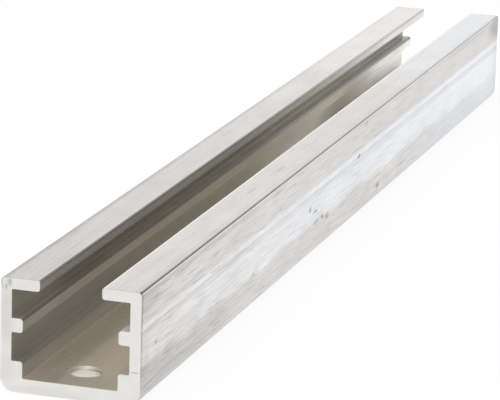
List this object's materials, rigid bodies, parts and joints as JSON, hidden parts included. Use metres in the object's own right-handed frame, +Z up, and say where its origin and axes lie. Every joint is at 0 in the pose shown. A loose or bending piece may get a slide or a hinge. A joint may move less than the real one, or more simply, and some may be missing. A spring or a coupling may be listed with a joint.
{
  "type": "aluminium extrusion profile",
  "caption": "Straight lipped aluminium channel with inner ribs and ledges that form nut and slider tracks, drilled through its floor near the ends for fixing down.",
  "frame": {"origin": "middle of the base, half way along the length", "axes": "+Y along the length, +X across the section, +Z up through the open mouth"},
  "size_m": [0.025, 0.25, 0.02],
  "materials": {
    "mill_aluminium": "bare mill finish with drawn die lines along the length, sawn ends"
  },
  "bodies": {
    "root": {"channel_profile": "mill_aluminium"}
  },
  "joints": []
}
